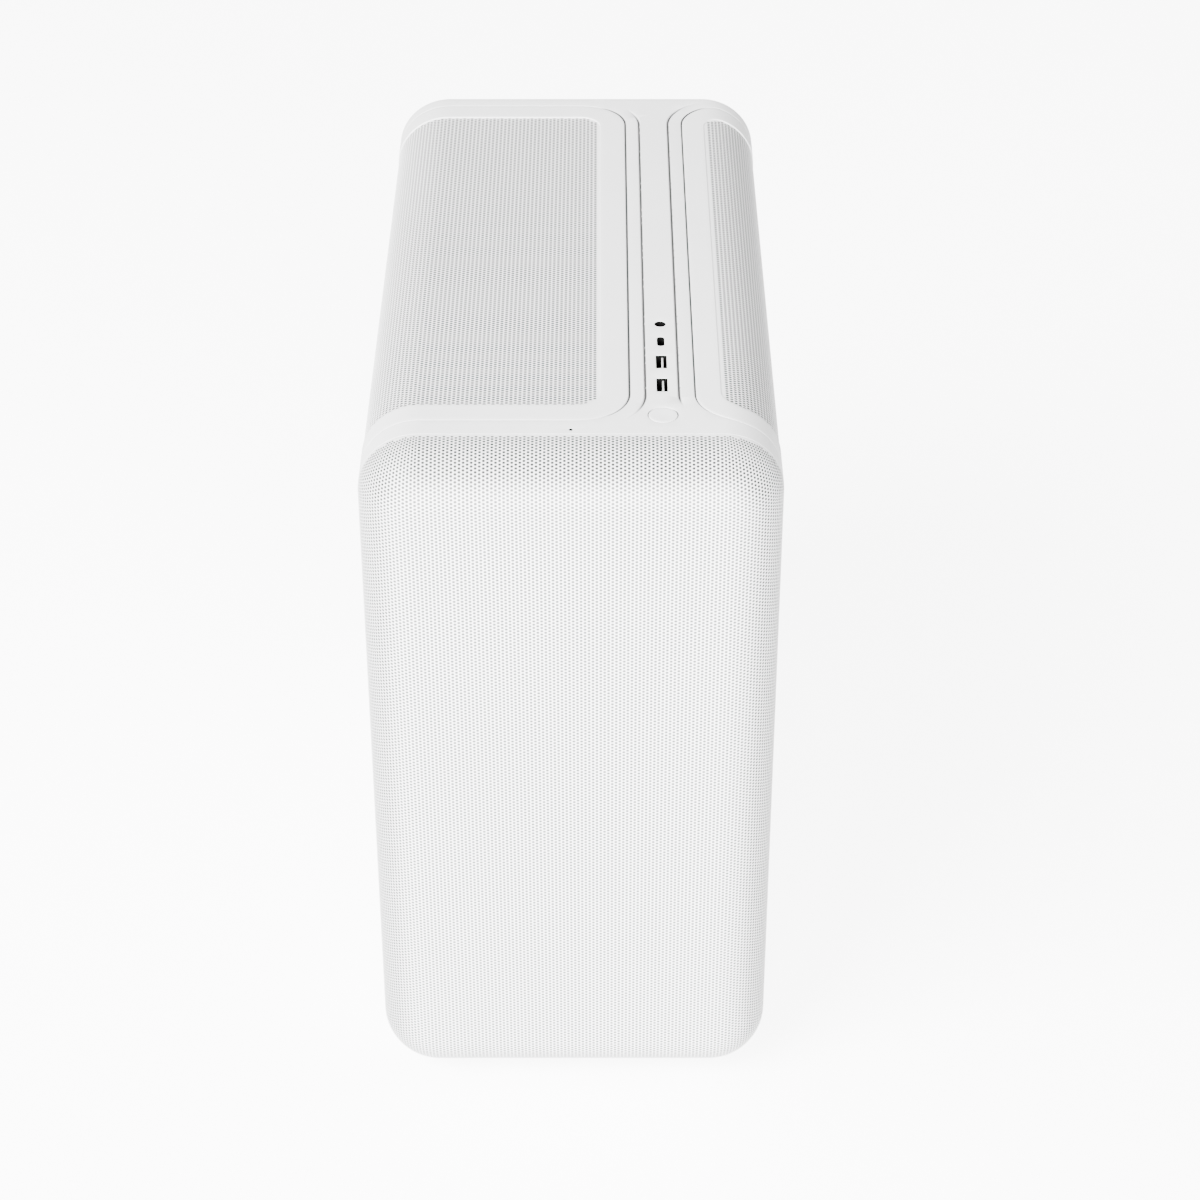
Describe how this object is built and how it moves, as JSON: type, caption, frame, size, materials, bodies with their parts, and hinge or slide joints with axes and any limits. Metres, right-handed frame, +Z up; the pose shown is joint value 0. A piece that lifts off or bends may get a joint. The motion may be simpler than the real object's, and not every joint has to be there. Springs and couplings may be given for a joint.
{
  "type": "tower computer",
  "caption": "Upright white computer case with a domed perforated front, two wrap-over mesh side panels, a top strip with ports and a round power button, and its working parts inside.",
  "frame": {"origin": "on the floor, under the middle of the case's box", "axes": "+Z up, -Y towards the domed front, +X to the right seen from the front; the box is longest along Y and narrowest along X"},
  "size_m": [0.206, 0.408, 0.395],
  "materials": {
    "white_plastic": "fine satin moulded plastic",
    "white_mesh": "white powder-coated perforated sheet",
    "button_plastic": "satin moulded plastic",
    "black_plastic": "matt moulded plastic",
    "fan_plastic": "matt moulded plastic",
    "tongue_plastic": "light moulded plastic",
    "galvanised_steel": "zinc-coated sheet steel",
    "dark_steel": "black powder-coated sheet steel",
    "plated_steel": "bright nickel-plated sheet",
    "fin_aluminium": "plain rolled aluminium",
    "gold_brass": "gold-plated",
    "circuit_board": "solder-masked glass-fibre board",
    "foot_rubber": "soft matt rubber"
  },
  "bodies": {
    "case": {"front_ring": "white_plastic", "rear_ring": "white_plastic", "top_strip": "white_plastic", "bottom_tub": "white_plastic", "power_switch": "black_plastic", "port_board": "circuit_board", "usb_a_shell_front": "plated_steel", "usb_a_shell_rear": "plated_steel", "usb_c_socket": "plated_steel", "usb_a_tongue_front": "tongue_plastic", "usb_a_tongue_rear": "tongue_plastic", "audio_jack": "black_plastic", "chassis_floor": "galvanised_steel", "chassis_roof": "galvanised_steel", "board_tray": "galvanised_steel", "front_rail_left": "galvanised_steel", "front_rail_right": "galvanised_steel", "rear_wall": "galvanised_steel", "supply_shroud": "galvanised_steel", "slot_cover": "galvanised_steel", "foot_front_left": "foot_rubber", "foot_front_right": "foot_rubber", "foot_rear_left": "foot_rubber", "foot_rear_right": "foot_rubber", "motherboard": "circuit_board", "memory_stick_1": "black_plastic", "memory_stick_2": "black_plastic", "storage_drive": "black_plastic", "cpu_cooler": "fin_aluminium", "cpu_fan_frame": "fan_plastic", "rear_port_plate": "plated_steel", "rear_port_stack": "dark_steel", "graphics_bracket": "plated_steel", "graphics_board": "circuit_board", "graphics_shroud": "black_plastic", "radio_card": "plated_steel", "aerial_socket_left": "gold_brass", "aerial_socket_right": "gold_brass", "power_supply": "dark_steel", "mains_inlet": "black_plastic", "front_fan_lower_frame": "fan_plastic", "front_fan_upper_frame": "fan_plastic", "rear_fan_frame": "fan_plastic", "main_power_loom": "black_plastic"},
    "front_cover": {"front_mesh": "white_mesh", "front_cover_frame": "white_plastic"},
    "left_panel": {"left_side_panel": "white_plastic", "left_mesh": "white_mesh"},
    "right_panel": {"right_side_panel": "white_plastic", "right_mesh": "white_mesh"},
    "button": {"power_button": "button_plastic"},
    "filter": {"dust_filter": "black_plastic"},
    "rocker": {"rocker_switch": "black_plastic"},
    "front_fan_lower": {"front_fan_lower_rotor": "fan_plastic"},
    "front_fan_upper": {"front_fan_upper_rotor": "fan_plastic"},
    "rear_fan": {"rear_fan_rotor": "fan_plastic"},
    "cpu_fan": {"cpu_fan_rotor": "fan_plastic"},
    "graphics_fan_front": {"graphics_fan_front_rotor": "fan_plastic"},
    "graphics_fan_rear": {"graphics_fan_rear_rotor": "fan_plastic"},
    "supply_fan": {"supply_fan_rotor": "fan_plastic"}
  },
  "joints": [
    {"name": "power_button_press", "type": "slide", "parent": "case", "child": "button", "axis": [0, 0, -1], "range_m": [0, 0.0008], "stiffness_N_per_m": 800, "springref_m": -0.0005},
    {"name": "front_cover_pull", "type": "slide", "parent": "case", "child": "front_cover", "axis": [0, -1, 0], "range_m": [0, 0.15]},
    {"name": "left_panel_pull", "type": "slide", "parent": "case", "child": "left_panel", "axis": [-1, 0, 0], "range_m": [0, 0.2]},
    {"name": "right_panel_pull", "type": "slide", "parent": "case", "child": "right_panel", "axis": [1, 0, 0], "range_m": [0, 0.2]},
    {"name": "dust_filter_slide", "type": "slide", "parent": "case", "child": "filter", "axis": [0, 1, 0], "range_m": [0, 0.15]},
    {"name": "supply_rocker", "type": "hinge", "parent": "case", "child": "rocker", "pos_m": [0.012, 0.188, 0.078], "axis": [1, 0, 0], "range_deg": [-16, 0]},
    {"name": "front_fan_lower_spin", "type": "hinge", "parent": "case", "child": "front_fan_lower", "pos_m": [0, -0.15655, 0.1285], "axis": [0, 1, 0], "continuous": true},
    {"name": "front_fan_upper_spin", "type": "hinge", "parent": "case", "child": "front_fan_upper", "pos_m": [0, -0.15655, 0.2705], "axis": [0, 1, 0], "continuous": true},
    {"name": "rear_fan_spin", "type": "hinge", "parent": "case", "child": "rear_fan", "pos_m": [-0.025, 0.18145, 0.305], "axis": [0, 1, 0], "continuous": true},
    {"name": "cpu_fan_spin", "type": "hinge", "parent": "case", "child": "cpu_fan", "pos_m": [-0.014, 0.07395, 0.305], "axis": [0, 1, 0], "continuous": true},
    {"name": "graphics_fan_front_spin", "type": "hinge", "parent": "case", "child": "graphics_fan_front", "pos_m": [0.011, 0.0455, 0.17168], "axis": [0, 0, 1], "continuous": true},
    {"name": "graphics_fan_rear_spin", "type": "hinge", "parent": "case", "child": "graphics_fan_rear", "pos_m": [0.011, 0.1435, 0.17168], "axis": [0, 0, 1], "continuous": true},
    {"name": "supply_fan_spin", "type": "hinge", "parent": "case", "child": "supply_fan", "pos_m": [-0.005, 0.124, 0.03175], "axis": [0, 0, 1], "continuous": true}
  ]
}
